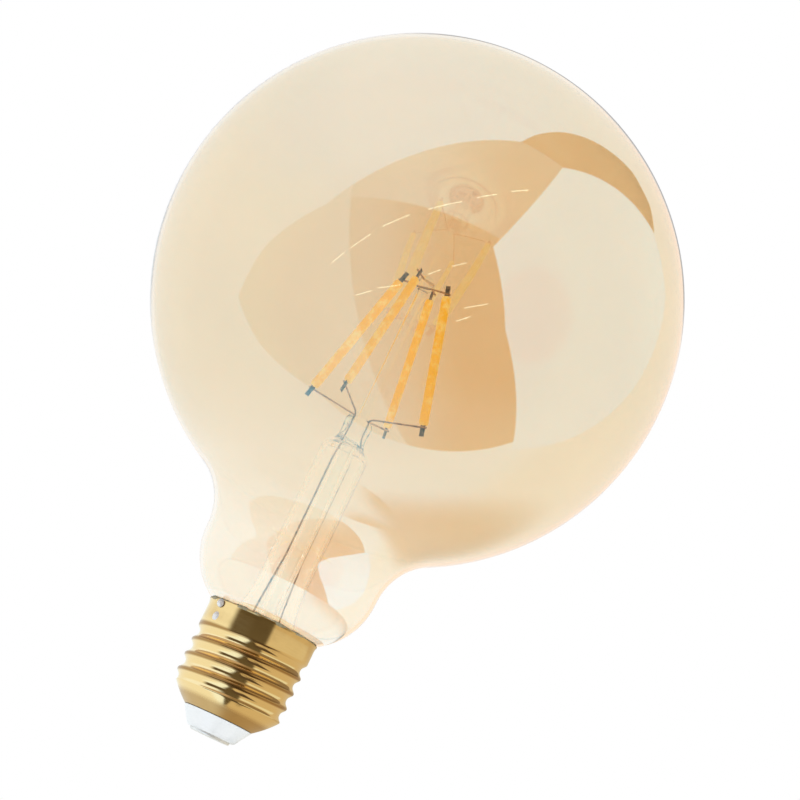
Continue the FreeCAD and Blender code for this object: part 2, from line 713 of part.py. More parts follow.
def make_fuse_resistor():
    """An axial fusible resistor lying on the board, with its leads bent down into it."""
    radius = FUSE_DIAMETER / 2
    waist = FUSE_WAIST_DIAMETER / 2
    half = FUSE_LENGTH / 2
    collar = half - FUSE_CAP_LENGTH
    body = turned(
        (0, -half),
        (radius - FUSE_EDGE, -half),
        (radius, FUSE_EDGE - half),
        (radius, -collar),
        (waist, FUSE_EDGE - collar),
        (waist, collar - FUSE_EDGE),
        (radius, collar),
        (radius, half - FUSE_EDGE),
        (radius - FUSE_EDGE, half),
        (0, half),
    )
    axis_height = BOARD_TOP + radius
    body.rotate(ORIGIN, Vec(0, 1, 0), 90)
    body.translate(Vec(FUSE_PLACE[0], FUSE_PLACE[1], axis_height))
    ends = [FUSE_PLACE[0] - FUSE_PITCH / 2, FUSE_PLACE[0] + FUSE_PITCH / 2]
    foot = BOARD_HEIGHT - DRIVER_WIRE_TAIL
    route = [(ends[0], foot), (ends[0], axis_height), (ends[1], axis_height), (ends[1], foot)]
    points = [Vec(x, FUSE_PLACE[1], z) for x, z in route]
    lead = wire_along(points, DRIVER_WIRE_RADIUS, DRIVER_WIRE_DIAMETER)
    return body.fuse(lead)


def make_live_wire():
    """The wire from the shank of the centre contact up to the board."""
    bend = CONTACT_SHANK_TOP + DRIVER_WIRE_BEND
    points = [
        Vec(0, 0, CONTACT_SHANK_TOP - CONTACT_WIRE_DEPTH),
        Vec(0, 0, bend),
        Vec(LIVE_WIRE_PLACE[0], LIVE_WIRE_PLACE[1], BOARD_HEIGHT - DRIVER_WIRE_BEND),
        Vec(LIVE_WIRE_PLACE[0], LIVE_WIRE_PLACE[1], BOARD_TOP + DRIVER_WIRE_TAIL),
    ]
    return wire_along(points, DRIVER_WIRE_RADIUS, DRIVER_WIRE_BEND)


def make_neutral_wire():
    """The wire from the board, up between glass and shell, to the inside of the collar."""
    gap_radius = (NECK_RADIUS + THREAD_BORE) / 2
    bore_step = COLLAR_FOOT + SHELL_WALL
    foot_radius = INSULATOR_CUP_DIAMETER / 2 - DRIVER_WIRE_RADIUS - NEUTRAL_WIRE_INSET
    end_radius = COLLAR_BORE - DRIVER_WIRE_RADIUS - NEUTRAL_WIRE_SEAT
    route = [
        (foot_radius, BOARD_HEIGHT - DRIVER_WIRE_TAIL),
        (foot_radius, BOARD_TOP + 2 * DRIVER_WIRE_BEND),
        (gap_radius, SEAL_HEIGHT - 2 * DRIVER_WIRE_BEND),
        (gap_radius, bore_step),
        (end_radius, bore_step + DRIVER_WIRE_BEND),
        (end_radius, SHELL_TOP - RIM_LIP_HEIGHT),
    ]
    points = [polar(radius, SOLDER_ANGLE, height) for radius, height in route]
    return wire_along(points, DRIVER_WIRE_RADIUS, DRIVER_WIRE_BEND)


def make_driver_board(wires):
    """The round board on the insulator's rim, drilled for the wires that pass through it."""
    board = Part.makeCylinder(BOARD_DIAMETER / 2, BOARD_THICKNESS, Vec(0, 0, BOARD_HEIGHT))
    return board.cut(wires)


def make_parts():
    """Every piece of the lamp, by its node's name."""
    tabs = [tab for index in range(FILAMENT_COUNT) for tab in filament_tabs(index)]
    leads = [make_lead_wire(side) for side in (0, 1)]
    branches = [make_branch_wire(side, leads[side]) for side in (0, 1)]
    top_wires = [make_top_wire(index) for index in (0, 1)]
    live = make_live_wire()
    neutral = make_neutral_wire()
    fuse = make_fuse_resistor()
    parts = {
        "glass_globe": make_glass_globe(),
        "glass_stem": make_glass_stem(leads + branches + top_wires),
        "filament_tabs": Part.makeCompound(tabs),
        "screw_shell": make_screw_shell(),
        "base_insulator": make_base_insulator(),
        "centre_contact": make_centre_contact(),
        "capping_cement": make_capping_cement(neutral),
        "side_solder": make_side_solder(),
        "driver_board": make_driver_board(leads + [live, neutral, fuse]),
        "bridge_rectifier": packaged_chip(RECTIFIER_SIZE, RECTIFIER_PLACE, 2),
        "driver_chip": packaged_chip(CHIP_SIZE, CHIP_PLACE, 4),
        "smoothing_capacitor": make_smoothing_capacitor(),
        "fuse_resistor": fuse,
        "live_wire": live,
        "neutral_wire": neutral,
    }
    for side, letter in enumerate("ab"):
        parts["lead_wire_" + letter] = leads[side].cut(tabs)
        parts["branch_wire_" + letter] = branches[side].cut(tabs)
        parts["top_wire_" + letter] = top_wires[side].cut(tabs)
    for index in range(FILAMENT_COUNT):
        parts["led_filament_%d" % (index + 1)] = make_led_filament(index)
    return parts


os.makedirs("parts", exist_ok=True)
for name, shape in make_parts().items():
    shape.exportStep("parts/" + name + ".step")
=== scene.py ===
"""Looks of a gold-tinted globe lamp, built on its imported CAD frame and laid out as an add-on."""
import math
import bmesh
import bpy
from bpy.props import FloatProperty, FloatVectorProperty, IntProperty, PointerProperty
from mathutils import Matrix, Vector


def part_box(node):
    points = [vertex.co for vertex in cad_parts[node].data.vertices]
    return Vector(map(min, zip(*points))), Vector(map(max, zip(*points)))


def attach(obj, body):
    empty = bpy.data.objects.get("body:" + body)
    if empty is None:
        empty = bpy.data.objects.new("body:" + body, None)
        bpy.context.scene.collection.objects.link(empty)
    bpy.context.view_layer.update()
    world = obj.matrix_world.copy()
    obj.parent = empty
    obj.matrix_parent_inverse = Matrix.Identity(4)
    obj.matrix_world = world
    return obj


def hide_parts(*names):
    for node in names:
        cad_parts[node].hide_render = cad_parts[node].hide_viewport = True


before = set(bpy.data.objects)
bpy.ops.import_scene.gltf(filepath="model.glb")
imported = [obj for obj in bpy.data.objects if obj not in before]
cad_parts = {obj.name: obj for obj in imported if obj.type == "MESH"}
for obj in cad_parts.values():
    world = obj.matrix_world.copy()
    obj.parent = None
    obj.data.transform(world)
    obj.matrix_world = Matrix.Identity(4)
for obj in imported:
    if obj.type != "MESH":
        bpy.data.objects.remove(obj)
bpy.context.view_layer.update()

bl_info = {
    "name": "Globe Lamp Looks",
    "version": (1, 0, 0),
    "blender": (4, 5, 0),
    "location": "View3D > Sidebar > Globe Lamp",
    "description": "Finishes a globe lamp: gold glass, brass cap, coated filaments and a white studio",
    "category": "Object",
}

GLASS_LOW, GLASS_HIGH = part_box("glass_globe")
SHELL_LOW, SHELL_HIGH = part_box("screw_shell")
FULL_TURN = 2 * math.pi

# Sizes that stay as they are, in metres
NECK_FILM = (0.042, 0.072)  # heights between which the film thickens from neck to globe
THREAD_TOP = (0.0229, 0.0222)  # heights between which the darker brown crests begin
CONE_TOP = (0.0078, 0.0064)  # heights between which the satin of the lower cone begins
COLLAR_FOOT = (0.0228, 0.0242)  # heights between which the smoked collar begins
DARKER_NEAR_CONTACT = (0.0008, 0.0021)  # heights between which the darkening near the contact ends
CONE_ROUNDING = 0.0004  # how softly the lower cone runs on into the thread
STRIP_END = 0.0006  # rounding at the ends of a coated strip
STRIP_REACH = 0.0024  # how far the end of a strip spreads from its outermost point
STRIP_WANDER = 0.00016  # how uneven a strip's coat is
BEAD_RADIUS, BEAD_LIFT = 0.0130, 0.00005  # the bead's ring, and its height above the rim
BEAD_THINNEST, BEAD_LUMPS = 0.00012, 0.00045  # the bead's thickness, and what its lumps add
CARD_HOLE, CARD_RADIUS, CARD_LIFT = 0.0146, 0.030, 0.0013  # the card, and its height above the rim
FLOOR_RADIUS = 2.5
SEAM, STRIP_SEAM = 1e-7, 2e-6  # how near to each other points are merged

# How finely pieces are divided, and how far the strips' seeds lie apart
ENVELOPE_AROUND, STAGE_AROUND = 200, 96
GLOBE_STEPS, WAIST_STEPS, FOOT_STEPS = 96, 24, 8
SEED_STEP = 3.7


# Settings a user would change

class GlobeLampGlass(bpy.types.PropertyGroup):
    """Sizes and colours of the blown envelope."""

    globe_diameter: FloatProperty(
        name="Globe Diameter", description="Outside diameter of the globe",
        default=GLASS_HIGH.x - GLASS_LOW.x, unit="LENGTH")
    wall: FloatProperty(
        name="Wall", description="Thickness of the blown glass", default=0.0008, unit="LENGTH")
    widening: FloatProperty(
        name="Widening", description="How far the neck widens for its rise above the rim", default=0.575)
    blend: FloatProperty(
        name="Blend", description="Radius of the hollow between globe and neck for the same rise",
        default=1.054)
    rim_radius: FloatProperty(
        name="Rim Radius", description="Radius of the glass inside the shell's rim",
        default=0.0128, unit="LENGTH")
    tube_radius: FloatProperty(
        name="Tube Radius", description="Radius of the neck tube inside the cap",
        default=0.0112, unit="LENGTH")
    tube_blend: FloatProperty(
        name="Tube Blend", description="Radius of the hollow above the neck tube",
        default=0.0025, unit="LENGTH")
    tint: FloatVectorProperty(
        name="Gold Tint", description="Colour of light that has passed the gold film",
        default=(0.925, 0.832, 0.62), subtype="COLOR")
    neck_tint: FloatVectorProperty(
        name="Neck Tint", description="Colour of light that has passed the thinner film on the neck",
        default=(0.985, 0.945, 0.84), subtype="COLOR")
    sheen: FloatVectorProperty(
        name="Film Reflection", description="Colour that the gold film mirrors",
        default=(0.22, 0.70, 1.0), subtype="COLOR")
    film_index: FloatProperty(
        name="Film Index", description="Index of refraction that gives the film its mirror strength",
        default=2.85, min=1.0)


class GlobeLampCap(bpy.types.PropertyGroup):
    """Sizes and colours of the screw cap."""

    major_radius: FloatProperty(
        name="Crest Radius", description="Radius over the crests of the thread",
        default=0.0131, unit="LENGTH")
    depth: FloatProperty(
        name="Thread Depth", description="Depth of the rolled groove", default=0.00095, unit="LENGTH")
    pitch: FloatProperty(
        name="Thread Pitch", description="Rise of the thread in one turn", default=0.0254 / 7, unit="LENGTH")
    groove_foot: FloatProperty(
        name="Groove Foot", description="Height at which the groove starts to wind",
        default=0.00725, unit="LENGTH")
    fullness: FloatProperty(
        name="Fullness", description="How much wider the groove is than its crests", default=0.15)
    first_turn: FloatProperty(
        name="First Turn", description="Turn at which the groove comes in", default=0.1)
    last_turn: FloatProperty(
        name="Last Turn", description="Turn at which the groove has run out", default=4.3)
    fade_turns: FloatProperty(
        name="Fade", description="Turns over which the groove comes in and runs out", default=0.3)
    mouth_radius: FloatProperty(
        name="Mouth Radius", description="Radius of the shell's lower mouth", default=0.0082, unit="LENGTH")
    cone_bulge: FloatProperty(
        name="Cone Bulge", description="How far the lower cone swells", default=0.00035, unit="LENGTH")
    lip: FloatProperty(
        name="Lip", description="How far the rim flares", default=0.00025, unit="LENGTH")
    lip_height: FloatProperty(
        name="Lip Height", description="Height of the flared rim", default=0.0012, unit="LENGTH")
    wall: FloatProperty(
        name="Wall", description="Thickness of the rolled brass", default=0.0003, unit="LENGTH")
    brass: FloatVectorProperty(
        name="Brass", description="Colour of polished brass", default=(0.96, 0.68, 0.32), subtype="COLOR")
    # This colour is also painted on the crests as a darker brown.
    dark_brass: FloatVectorProperty(
        name="Tarnish", description="Colour of brass that has dulled",
        default=(0.40, 0.20, 0.055), subtype="COLOR")


class GlobeLampFilaments(bpy.types.PropertyGroup):
    """Sizes and colours of the coated filaments."""

    length: FloatProperty(
        name="Length", description="Length of the coated strip", default=0.0326, unit="LENGTH")
    width: FloatProperty(
        name="Width", description="Width of the coated strip", default=0.002, unit="LENGTH")
    thickness: FloatProperty(
        name="Thickness", description="Thickness of the coated strip", default=0.0016, unit="LENGTH")
    chips: IntProperty(
        name="Chips", description="Number of chips under the coat", default=28)
    swell: FloatProperty(
        name="Swell", description="How far the coat stands up over a chip", default=0.00003, unit="LENGTH")
    coat: FloatVectorProperty(
        name="Coat", description="Colour of the phosphor coat", default=(1.0, 0.57, 0.04), subtype="COLOR")
    thin_coat: FloatVectorProperty(
        name="Thin Coat", description="Colour where the coat is thin",
        default=(1.0, 0.80, 0.28), subtype="COLOR")


class GlobeLampStudio(bpy.types.PropertyGroup):
    """Camera and light of the studio."""

    distance: FloatProperty(
        name="Distance", description="From the camera to the middle of the globe",
        default=0.45, unit="LENGTH")
    lens: FloatProperty(name="Lens", description="Focal length in millimetres", default=85.78)
    tilt: FloatProperty(
        name="Tilt", description="How far the lamp's crown leans away",
        default=math.radians(13.1), subtype="ANGLE")
    roll: FloatProperty(
        name="Roll", description="How far the lamp leans to the right in the picture",
        default=math.radians(25.4), subtype="ANGLE")
    across: FloatProperty(
        name="Across", description="Share of the picture's width left of the globe's middle", default=0.52125)
    down: FloatProperty(
        name="Down", description="Share of the picture's height above the globe's middle", default=0.378)
    floor_drop: FloatProperty(
        name="Floor Drop", description="How far the floor lies below the lamp", default=0.25, unit="LENGTH")


# Node trees

class Field:
    """A socket that takes part in Python arithmetic: each operation adds a Math node."""

    def __init__(self, graph, socket):
        self.graph = graph
        self.socket = socket

    def out(self, name):
        """Another output of the same node."""
        return Field(self.graph, self.socket.node.outputs[name])

    def math(self, operation, *others):
        """This value and others through one Math node."""
        return self.graph.add("ShaderNodeMath", {"operation": operation}, dict(enumerate((self,) + others)))

    def flipped(self, operation, first):
        """A plain number and this value through one Math node, in that order."""
        return self.graph.add("ShaderNodeMath", {"operation": operation}, {0: first, 1: self})

    def __add__(self, other):
        return self.math("ADD", other)

    def __radd__(self, other):
        return self.flipped("ADD", other)

    def __sub__(self, other):
        return self.math("SUBTRACT", other)

    def __rsub__(self, other):
        return self.flipped("SUBTRACT", other)

    def __mul__(self, other):
        return self.math("MULTIPLY", other)

    def __rmul__(self, other):
        return self.flipped("MULTIPLY", other)

    def __truediv__(self, other):
        return self.math("DIVIDE", other)

    def __rtruediv__(self, other):
        return self.flipped("DIVIDE", other)

    def __pow__(self, other):
        return self.math("POWER", other)

    def __abs__(self):
        return self.math("ABSOLUTE")


class Graph:
    """A node tree that is filled by one method."""

    def __init__(self, tree):
        self.tree = tree

    def add(self, kind, settings=None, inputs=None, output=0):
        """Adds a node, applies its settings, then sets or links its sockets."""
        node = self.tree.nodes.new(kind)
        for name, value in (settings or {}).items():
            if name == "stops":
                self.set_stops(node.color_ramp, value)
            else:
                setattr(node, name, value)
        for name, value in (inputs or {}).items():
            if isinstance(value, Field):
                self.tree.links.new(value.socket, node.inputs[name])
            else:
                node.inputs[name].default_value = value
        return Field(self, node.outputs[output]) if len(node.outputs) else None

    @staticmethod
    def set_stops(ramp, stops):
        """Gives a colour ramp its places and colours."""
        while len(ramp.elements) < len(stops):
            ramp.elements.new(1.0)
        for element, (place, colour) in zip(ramp.elements, stops):
            element.position = place
            element.color = (*colour, 1.0)

    def step(self, value, low, high, first=0.0, last=1.0):
        """A value eased from first to last while it goes from low to high."""
        inputs = {"Value": value, "From Min": low, "From Max": high, "To Min": first, "To Max": last}
        return self.add("ShaderNodeMapRange", {"interpolation_type": "SMOOTHSTEP"}, inputs)

    def mix(self, factor, first, last):
        """Two colours mixed by a factor."""
        colours = [value if isinstance(value, Field) else (*value, 1.0) for value in (first, last)]
        inputs = {0: factor, 6: colours[0], 7: colours[1]}
        return self.add("ShaderNodeMix", {"data_type": "RGBA"}, inputs, 2)

    def place(self, scale=(1, 1, 1), turn=(0, 0, 0)):
        """Object coordinates, turned and scaled."""
        spot = self.add("ShaderNodeTexCoord", output="Object")
        return self.add("ShaderNodeMapping", {}, {"Vector": spot, "Rotation": turn, "Scale": scale})

    def noise(self, vector, scale, detail=3.0, roughness=0.5):
        """A noise value from about 0 to 1."""
        inputs = {"Vector": vector, "Scale": scale, "Detail": detail, "Roughness": roughness}
        return self.add("ShaderNodeTexNoise", {}, inputs)

    def seeded_noise(self, vector, seed, detail, roughness=0.5):
        """A noise value that a seed changes."""
        inputs = {"Vector": vector, "W": seed, "Scale": 1.0, "Detail": detail, "Roughness": roughness}
        return self.add("ShaderNodeTexNoise", {"noise_dimensions": "4D"}, inputs)

    def around(self):
        """Radius, angle and height about the lamp's axis."""
        parts = self.add("ShaderNodeSeparateXYZ", {}, {0: self.add("ShaderNodeTexCoord", output="Object")})
        x, y, z = parts, parts.out("Y"), parts.out("Z")
        return (x * x + y * y) ** 0.5, y.math("ARCTAN2", x), z

    def vector(self, x, y, z):
        """Three values as a vector."""
        return self.add("ShaderNodeCombineXYZ", {}, {0: x, 1: y, 2: z})

    def ring(self, radius, turn, height):
        """A place about the lamp's axis as a vector."""
        return self.vector(radius * turn.math("COSINE"), radius * turn.math("SINE"), height)

    def bump(self, height, distance, strength):
        """A normal from a height."""
        return self.add("ShaderNodeBump", {}, {"Strength": strength, "Distance": distance, "Height": height})

    def surface(self, inputs):
        """Ends a material in a Principled shader."""
        shader = self.add("ShaderNodeBsdfPrincipled", {}, inputs)
        self.add("ShaderNodeOutputMaterial", {}, {"Surface": shader})


def new_material(name):
    """An empty material and the graph that fills it."""
    made = bpy.data.materials.new(name)
    made.use_nodes = True
    made.node_tree.nodes.clear()
    return made, Graph(made.node_tree)


def new_shape(name, sizes):
    """An empty geometry tree with named inputs, its graph, and its inputs by name."""
    tree = bpy.data.node_groups.new(name, "GeometryNodeTree")
    tree.interface.new_socket(name="Geometry", in_out="OUTPUT", socket_type="NodeSocketGeometry")
    for title, value in sizes.items():
        kind = "NodeSocketInt" if isinstance(value, int) else "NodeSocketFloat"
        tree.interface.new_socket(name=title, in_out="INPUT", socket_type=kind)
    graph = Graph(tree)
    entry = graph.add("NodeGroupInput")
    return tree, graph, {title: entry.out(title) for title in sizes}


def shaped_mesh(name, tree, sizes, finish):
    """Runs a geometry tree with its sizes, and keeps the result as a plain mesh object."""
    holder = bpy.data.objects.new(name + "_maker", bpy.data.meshes.new(name + "_maker"))
    bpy.context.scene.collection.objects.link(holder)
    modifier = holder.modifiers.new("Shape", "NODES")
    modifier.node_group = tree
    for socket in tree.interface.items_tree:
        if socket.in_out == "INPUT":
            modifier[socket.identifier] = sizes[socket.name]
    view = bpy.context.evaluated_depsgraph_get()
    mesh = bpy.data.meshes.new_from_object(holder.evaluated_get(view))
    holder.modifiers.remove(modifier)
    bpy.data.objects.remove(holder)
    mesh.name = name
    if not mesh.polygons:
        raise RuntimeError(name + " came out empty")
    mesh.materials.clear()
    mesh.materials.append(finish)
    return link_piece(name, mesh)


def link_piece(name, mesh):
    """A new object at the origin that shows a mesh."""
    made = bpy.data.objects.new(name, mesh)
    bpy.context.scene.collection.objects.link(made)
    return made


def dress(node, finish):
    """Gives a CAD node its finish."""
    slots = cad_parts[node].data.materials
    slots.clear()
    slots.append(finish)


def stand_in(piece, slot, *nodes):
    """Lets a piece ride on the lamp in place of CAD nodes."""
    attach(piece, "root")
    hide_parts(*nodes)


# Meshes

def arc_points(centre, radius, start, end, count):
    """Points on a circle in the (radius, height) plane, without the first one."""
    turns = [start + (end - start) * step / count for step in range(1, count + 1)]
    return [(centre[0] + radius * math.cos(turn), centre[1] + radius * math.sin(turn)) for turn in turns]


def turned_mesh(name, outline, around):
    """A smooth mesh turned about the axis; points on the axis become poles."""
    made = bmesh.new()
    turns = [FULL_TURN * step / around for step in range(around)]
    rings = []
    for radius, height in outline:
        spots = [(radius * math.cos(turn), radius * math.sin(turn), height) for turn in turns]
        rings.append([made.verts.new(spot) for spot in (spots if radius > SEAM else spots[:1])])
    for first, second in zip(rings, rings[1:]):
        for step in range(around):
            after = (step + 1) % around
            corners = [first[step % len(first)], first[after % len(first)]]
            corners += [second[after % len(second)], second[step % len(second)]]
            made.faces.new(list(dict.fromkeys(corners)))
    bmesh.ops.recalc_face_normals(made, faces=made.faces)
    mesh = bpy.data.meshes.new(name)
    made.to_mesh(mesh)
    made.free()
    mesh.shade_smooth()
    return mesh


def waist_rise(glass):
    """The height of the waist above the rim at which its blend runs on into the globe."""
    globe_radius = glass.globe_diameter / 2
    globe_rise = GLASS_HIGH.z - globe_radius - SHELL_HIGH.z
    square = 1 + glass.widening ** 2 + 2 * glass.widening * glass.blend
    half = globe_rise + globe_radius * glass.blend - glass.rim_radius * (glass.widening + glass.blend)
    constant = glass.rim_radius ** 2 + globe_rise ** 2 - globe_radius ** 2
    return (half - math.sqrt(half ** 2 - square * constant)) / square


def envelope_outline(glass, inset):
    """The envelope from its crown to its seal, set in from the outer face: four arcs and a straight tube."""
    globe_radius = glass.globe_diameter / 2
    middle = GLASS_HIGH.z - globe_radius
    rise = waist_rise(glass)
    narrowing = glass.widening * rise
    blend = glass.blend * rise
    waist = glass.rim_radius + narrowing
    waist_height = SHELL_HIGH.z + rise
    neck_radius = (rise ** 2 + narrowing ** 2) / (2 * narrowing)
    globe = (0, middle)
    hollow = (waist + blend, waist_height)
    neck = (waist - neck_radius, waist_height)
    foot_radius = glass.tube_radius + glass.tube_blend
    reach = neck_radius + glass.tube_blend
    foot = (foot_radius, waist_height - math.sqrt(reach ** 2 - (foot_radius - neck[0]) ** 2))
    to_hollow = math.atan2(hollow[1] - globe[1], hollow[0] - globe[0])
    to_foot = math.atan2(foot[1] - neck[1], foot[0] - neck[0])
    points = [(0, middle + globe_radius - inset)]
    points += arc_points(globe, globe_radius - inset, math.pi / 2, to_hollow, GLOBE_STEPS)
    points += arc_points(hollow, blend + inset, to_hollow + math.pi, math.pi, WAIST_STEPS)
    points += arc_points(neck, neck_radius - inset, 0, to_foot, WAIST_STEPS)
    points += arc_points(foot, glass.tube_blend + inset, to_foot + math.pi, math.pi, FOOT_STEPS)
    return points + [(glass.tube_radius - inset, GLASS_LOW.z)]


def strip_place(node, length):
    """Where a strip stands, read from its CAD solid: its foot, with thickness, width and length as axes."""
    points = [vertex.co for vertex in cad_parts[node].data.vertices]
    middle = sum(points, Vector()) / len(points)
    low = min(points, key=lambda point: point.z)
    high = max(points, key=lambda point: point.z)
    ends = []
    for end in (low, high):
        near = [point for point in points if (point - end).length < STRIP_REACH]
        ends.append(sum(near, Vector()) / len(near))
    along = (ends[1] - ends[0]).normalized()
    out = Vector((middle.x, middle.y, 0)).normalized()
    across = Vector((0, 0, 1)).cross(out).normalized()
    thick = along.cross(across).normalized()
    foot = (ends[0] + ends[1]) / 2 - along * length / 2
    turn = Matrix((thick, across, along)).transposed().to_4x4()
    return Matrix.Translation(foot) @ turn


def smooth_share(value):
    """A field from 0 to 1, eased at both ends, inside a geometry tree."""
    held = value.math("MAXIMUM", 0.0).math("MINIMUM", 1.0)
    return held * held * (3.0 - 2.0 * held)


def open_sheet(graph, columns, rows):
    """A unit sheet with its points in columns and rows, and each point's place on it."""
    sheet = graph.add("GeometryNodeMeshGrid", {}, {0: 1.0, 1: 1.0, 2: columns, 3: rows}, "Mesh")
    return sheet, graph.add("ShaderNodeSeparateXYZ", {}, {0: graph.add("GeometryNodeInputPosition")})


def close_sheet(tree, graph, sheet, placed, seam):
    """Ends a geometry tree: the sheet in place, its seam merged, smooth, realized, with a material."""
    skin = graph.add("GeometryNodeSetPosition", {}, {"Geometry": sheet, "Position": placed})
    skin = graph.add("GeometryNodeMergeByDistance", {}, {"Geometry": skin, "Distance": seam})
    skin = graph.add("GeometryNodeSetShadeSmooth", {}, {"Geometry": skin, "Shade Smooth": True})
    skin = graph.add("GeometryNodeRealizeInstances", {}, {"Geometry": skin})
    skin = graph.add("GeometryNodeSetMaterial", {}, {"Geometry": skin})
    graph.add("NodeGroupOutput", {}, {0: skin})
    return tree


def shell_tree(sizes):
    """Geometry nodes for the rolled shell: a sheet wrapped about the axis and pressed into its thread."""
    tree, graph, size = new_shape("Rolled Screw Shell", sizes)
    sheet, spot = open_sheet(graph, size["Columns"] + 1.0, size["Rows"])
    lap = spot + 0.5
    height = size["Foot"] + (spot.out("Y") + 0.5) * (size["Top"] - size["Foot"])
    climb = (height - size["Groove Foot"]) / size["Pitch"]
    winding = (climb - lap).math("ROUND") + lap
    entry = smooth_share((winding - size["First Turn"]) / size["Fade"])
    leave = smooth_share((size["Last Turn"] - winding) / size["Fade"])
    wave = ((climb - winding) * FULL_TURN).math("COSINE")
    groove = size["Depth"] * entry * leave * ((1.0 + wave) * 0.5 + size["Fullness"] * (1.0 - wave * wave))
    lip = (1.0 - (size["Top"] - height) / size["Lip Height"]).math("MAXIMUM", 0.0)
    rolled = size["Crest Radius"] + size["Lip"] * lip * lip - groove
    share = (height - size["Foot"]) / (size["Crest Radius"] - size["Mouth Radius"])
    swell = size["Cone Bulge"] * 4.0 * share * (1.0 - share).math("MAXIMUM", 0.0)
    cone = size["Mouth Radius"] + height - size["Foot"] + swell
    radius = rolled.math("SMOOTH_MIN", cone, CONE_ROUNDING)
    return close_sheet(tree, graph, sheet, graph.ring(radius, lap * FULL_TURN, height), SEAM)


def filament_tree(sizes):
    """Geometry nodes for a coated strip: a rounded bar with a swell over each chip and an uneven coat."""
    tree, graph, size = new_shape("Coated Filament", sizes)
    sheet, spot = open_sheet(graph, size["Columns"] + 1.0, size["Rows"])
    turn = spot * FULL_TURN
    share = spot.out("Y") + 0.5
    along = share * size["Length"]
    cosine, sine = turn.math("COSINE"), turn.math("SINE")
    wide = cosine.math("SIGN") * abs(cosine) ** 0.5
    thick = sine.math("SIGN") * abs(sine) ** 0.5
    to_end = along.math("MINIMUM", size["Length"] - along) / size["End Radius"]
    short = (1.0 - to_end).math("MAXIMUM", 0.0)
    close = (1.0 - short * short).math("MAXIMUM", 0.0) ** 0.5
    chip = (share * size["Chips"] * FULL_TURN).math("COSINE") * size["Swell"]
    wander = graph.seeded_noise(graph.vector(wide * 0.4, thick * 0.4, along * 600.0), size["Seed"], 2.0)
    uneven = (wander - 0.5) * size["Unevenness"]
    half_wide = (size["Width"] * 0.5 + chip + uneven) * close
    half_thick = (size["Thickness"] * 0.5 + chip + uneven) * close
    placed = graph.vector(wide * half_wide, thick * half_thick, along)
    return close_sheet(tree, graph, sheet, placed, STRIP_SEAM)


def bead_tree(sizes):
    """Geometry nodes for the bead of cement squeezed out at the rim: a ring whose thickness wanders."""
    tree, graph, size = new_shape("Cement Bead", sizes)
    sheet, spot = open_sheet(graph, size["Columns"] + 1.0, size["Rows"] + 1.0)
    turn, section = spot * FULL_TURN, spot.out("Y") * FULL_TURN
    lump = graph.seeded_noise(graph.ring(3.0, turn, section.math("COSINE") * 0.4), size["Seed"], 4.0, 0.65)
    thick = size["Thinnest"] + size["Lumps"] * smooth_share((lump - 0.4) / 0.25)
    radius = size["Ring Radius"] + thick * section.math("COSINE") * 0.8
    height = size["Ring Height"] + thick * section.math("SINE")
    return close_sheet(tree, graph, sheet, graph.ring(radius, turn, height), SEAM)


# Finishes

def gold_glass(glass):
    """Clear blown glass under a thin gold film, cloudy in tone and faintly uneven."""
    made, graph = new_material("gold glass")
    cloud = graph.noise(graph.place(), 22.0, 2.0)
    deeper = tuple(channel * 0.97 for channel in glass.tint)
    colour = graph.mix(graph.step(cloud, 0.35, 0.65), glass.tint, deeper)
    height = graph.around()[2]
    colour = graph.mix(graph.step(height, *NECK_FILM), glass.neck_tint, colour)
    sway = graph.bump(graph.noise(graph.place(), 30.0, 0.0), 0.00004, 0.35)
    graph.surface({
        "Base Color": colour, "Roughness": 0.0, "Normal": sway, "IOR": glass.film_index,
        "Transmission Weight": 1.0, "Specular Tint": (*glass.sheen, 1.0)})
    return made


def clear_glass():
    """Drawn tube glass with faint streaks along its length and a faint painted glow that brightens it."""
    made, graph = new_material("clear glass")
    radius, angle, height = graph.around()
    streaks = graph.noise(graph.vector(angle * 9.0, radius * 400.0, height * 12.0), 1.0, 3.0)
    colour = graph.mix(graph.step(streaks, 0.4, 0.7), (0.99, 0.99, 0.985), (0.95, 0.965, 0.955))
    roughness = graph.step(streaks, 0.5, 0.8, 0.0, 0.04)
    # The emission is a painted glow: it brightens the stem, which is no lamp.
    graph.surface({
        "Base Color": colour, "Roughness": roughness, "Normal": graph.bump(streaks, 0.00003, 0.3), "IOR": 1.5,
        "Transmission Weight": 1.0, "Emission Color": (1.0, 0.92, 0.80, 1.0), "Emission Strength": 0.02})
    return made


def rolled_brass(cap):
    """Bright rolled brass with fine lines round it: crests painted darker brown, lower cone satin, collar
    smoked.
    """
    made, graph = new_material("rolled brass")
    radius, angle, height = graph.around()
    flank, top = cap.major_radius - cap.depth * 0.42, cap.major_radius - cap.depth * 0.02
    # The crests are painted darker brown along their whole length.
    crest = graph.step(radius, flank, top) * graph.step(height, *THREAD_TOP)
    cone = graph.step(height, *CONE_TOP)
    collar = graph.step(height, *COLLAR_FOOT)
    lines = graph.noise(graph.vector(angle * 1.5, radius * 900.0, height * 5200.0), 1.0, 3.0)
    blotch = graph.noise(graph.place(), 160.0)
    smoked = graph.step(blotch, 0.35, 0.75, 0.0, 0.3)
    darkened = (crest * 0.9 + cone * (0.42 + blotch * 0.3) + collar * smoked).math("MINIMUM", 1.0)
    colour = graph.mix(darkened, cap.brass, cap.dark_brass)
    roughness = 0.07 + crest * 0.12 + cone * 0.22 + lines * 0.07
    graph.surface({
        "Base Color": colour, "Metallic": 1.0, "Roughness": roughness,
        "Normal": graph.bump(lines + blotch * 0.4, 0.000012, 0.5)})
    return made


